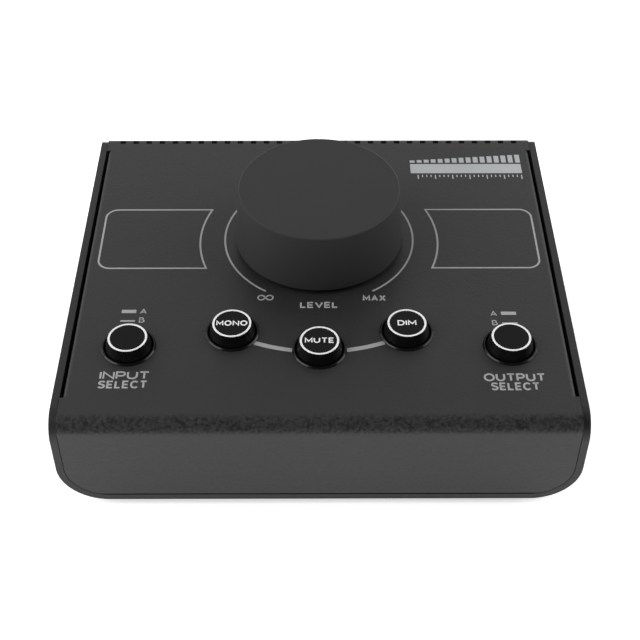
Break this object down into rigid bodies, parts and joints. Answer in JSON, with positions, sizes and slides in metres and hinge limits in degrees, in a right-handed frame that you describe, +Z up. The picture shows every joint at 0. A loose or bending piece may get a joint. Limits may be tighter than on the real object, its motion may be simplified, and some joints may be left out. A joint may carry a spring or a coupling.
{
  "type": "desktop monitor controller",
  "caption": "Desktop monitor controller: wedge-shaped metal case with a large volume knob, push buttons for source, monitor, mono, mute and dim, and jack sockets at the back.",
  "frame": {"origin": "centre of the footprint at the level that the feet stand on", "axes": "+X to the right seen from the front, +Y to the back, +Z up"},
  "size_m": [0.1966, 0.1758, 0.0845],
  "materials": {
    "shell_paint": "painted dark grey, satin",
    "cover_paint": "satin, fine texture",
    "black_screws": "satin",
    "steel_screws": "satin",
    "bezel_gloss": "gloss",
    "circuit_board": "satin",
    "plated_steel": "polished",
    "resistor_blue": "satin",
    "header_black": "matte",
    "ribbon_grey": "matte",
    "socket_black": "matte",
    "pot_casing": "satin",
    "brass_bush": "satin",
    "shaft_metal": "satin",
    "knob_plastic": "matte",
    "white_plastic": "satin",
    "foot_rubber": "matte",
    "switch_plastic": "satin",
    "plunger_plastic": "satin",
    "cap_gloss": "gloss"
  },
  "bodies": {
    "chassis": {"base_shell": "shell_paint", "top_cover": "cover_paint", "base_screws": "black_screws", "foot_screws": "steel_screws", "button_bezels": "bezel_gloss", "control_board": "circuit_board", "board_studs": "plated_steel", "board_screws": "steel_screws", "attenuator_resistors": "resistor_blue", "control_header": "header_black", "ribbon_cable": "ribbon_grey", "jack_header": "header_black", "jack_board": "circuit_board", "jack_board_posts": "plated_steel", "jack_board_screws": "steel_screws", "mini_jack": "socket_black", "jack_washers": "plated_steel", "jack_nuts": "plated_steel", "pot_body": "pot_casing", "pot_bushing": "brass_bush", "pot_washer": "plated_steel", "pot_nut": "plated_steel", "foot_front_left": "foot_rubber", "foot_front_right": "foot_rubber", "foot_rear_left": "foot_rubber", "foot_rear_right": "foot_rubber", "source_a_left_jack": "socket_black", "source_a_right_jack": "socket_black", "source_b_left_jack": "socket_black", "source_b_right_jack": "socket_black", "monitor_a_left_jack": "socket_black", "monitor_a_right_jack": "socket_black", "monitor_b_left_jack": "socket_black", "monitor_b_right_jack": "socket_black", "source_select_switch": "switch_plastic", "mono_switch": "switch_plastic", "mute_switch": "switch_plastic", "dim_switch": "switch_plastic", "monitor_select_switch": "switch_plastic"},
    "knob": {"volume_knob": "knob_plastic", "knob_hub": "brass_bush", "knob_pointer": "white_plastic", "pot_shaft": "shaft_metal"},
    "source_select_button": {"source_select_cap": "cap_gloss", "source_select_ring": "white_plastic", "source_select_plunger": "plunger_plastic"},
    "mono_button": {"mono_cap": "cap_gloss", "mono_ring": "white_plastic", "mono_plunger": "plunger_plastic"},
    "mute_button": {"mute_cap": "cap_gloss", "mute_ring": "white_plastic", "mute_plunger": "plunger_plastic"},
    "dim_button": {"dim_cap": "cap_gloss", "dim_ring": "white_plastic", "dim_plunger": "plunger_plastic"},
    "monitor_select_button": {"monitor_select_cap": "cap_gloss", "monitor_select_ring": "white_plastic", "monitor_select_plunger": "plunger_plastic"}
  },
  "joints": [
    {"name": "volume_turn", "type": "hinge", "parent": "chassis", "child": "knob", "pos_m": [0, 0.01388, 0.05498], "axis": [0, 0.0872, -0.9962], "range_deg": [-147, 147]},
    {"name": "source_select_press", "type": "slide", "parent": "chassis", "child": "source_select_button", "axis": [0, 0.0872, -0.9962], "range_m": [0, 0.0022], "stiffness_N_per_m": 400, "springref_m": -0.002},
    {"name": "mono_press", "type": "slide", "parent": "chassis", "child": "mono_button", "axis": [0, 0.0872, -0.9962], "range_m": [0, 0.0022], "stiffness_N_per_m": 400, "springref_m": -0.002},
    {"name": "mute_press", "type": "slide", "parent": "chassis", "child": "mute_button", "axis": [0, 0.0872, -0.9962], "range_m": [0, 0.0022], "stiffness_N_per_m": 400, "springref_m": -0.002},
    {"name": "dim_press", "type": "slide", "parent": "chassis", "child": "dim_button", "axis": [0, 0.0872, -0.9962], "range_m": [0, 0.0022], "stiffness_N_per_m": 400, "springref_m": -0.002},
    {"name": "monitor_select_press", "type": "slide", "parent": "chassis", "child": "monitor_select_button", "axis": [0, 0.0872, -0.9962], "range_m": [0, 0.0022], "stiffness_N_per_m": 400, "springref_m": -0.002}
  ]
}
